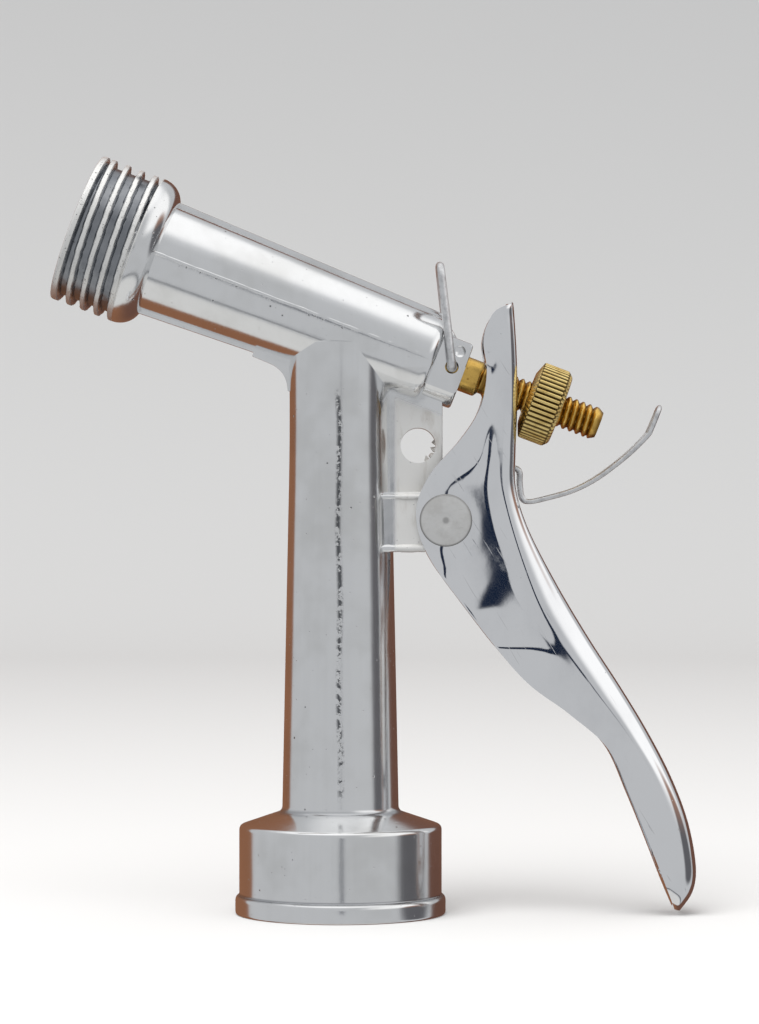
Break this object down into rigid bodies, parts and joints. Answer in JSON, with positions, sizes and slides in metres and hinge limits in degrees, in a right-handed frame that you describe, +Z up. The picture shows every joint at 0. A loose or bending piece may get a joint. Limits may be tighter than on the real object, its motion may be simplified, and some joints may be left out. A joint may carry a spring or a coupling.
{
  "type": "hose spray nozzle",
  "caption": "Pistol-grip garden hose nozzle: chromed cast body with threaded outlet and hose socket, squeeze lever, sliding brass valve stem, knurled adjusting nut and wire hold-open bail.",
  "frame": {"origin": "middle of the hose inlet's face, on the grip's axis", "axes": "+Z up the grip, +X towards the lever, -X towards the outlet, Y across the nozzle"},
  "size_m": [0.1138, 0.0372, 0.1338],
  "materials": {
    "chromed_casting": "bright chrome over a die casting with fine pits and a parting line",
    "chromed_pressing": "polished chrome over pressed sheet",
    "turned_brass": "turned brass, bright",
    "knurled_brass": "knurled brass, satin",
    "galvanised_wire": "dull galvanised wire",
    "spring_steel": "drawn wire",
    "zinc_plated_rivet": "matt plated, off-white",
    "rubber_seal": "matt black rubber"
  },
  "bodies": {
    "nozzle": {"nozzle_body": "chromed_casting", "hose_washer": "rubber_seal", "outlet_seat": "turned_brass", "spring_seat": "turned_brass", "packing_washer": "turned_brass", "stem_packing": "rubber_seal", "return_spring": "spring_steel"},
    "valve": {"valve_stem": "turned_brass", "stem_cone": "turned_brass", "valve_washer": "rubber_seal", "washer_cup": "turned_brass"},
    "adjuster": {"adjusting_nut": "knurled_brass"},
    "trigger": {"lever": "chromed_pressing", "lever_rivet": "zinc_plated_rivet"},
    "hold_open": {"hold_open_bail": "galvanised_wire"},
    "wire_clip": {"lever_wire_clip": "galvanised_wire"}
  },
  "joints": [
    {"name": "lever_pivot", "type": "hinge", "parent": "nozzle", "child": "trigger", "pos_m": [0.0185, 0, 0.0695], "axis": [0, 1, 0], "range_deg": [0, 18], "stiffness_Nm_per_rad": 0.9, "springref_deg": -18.11},
    {"name": "stem_slide", "type": "slide", "parent": "nozzle", "child": "valve", "axis": [0.9348, 0, -0.3551], "range_m": [0, 0.0061], "deforming": ["return_spring"]},
    {"name": "nut_turn", "type": "hinge", "parent": "valve", "child": "adjuster", "pos_m": [0.03594, 0, 0.09005], "axis": [0.9348, 0, -0.3551], "range_deg": [-360, 360]},
    {"name": "bail_swing", "type": "hinge", "parent": "nozzle", "child": "hold_open", "pos_m": [0.01961, 0, 0.09647], "axis": [0, 1, 0], "range_deg": [0, 36]},
    {"name": "clip_swing", "type": "hinge", "parent": "trigger", "child": "wire_clip", "pos_m": [0.0309, 0, 0.0787], "axis": [0, -1, 0], "range_deg": [0, 20]}
  ],
  "couplings": [
    {"joint": "stem_slide", "follows": "lever_pivot", "m_per_rad": 0.019}
  ]
}
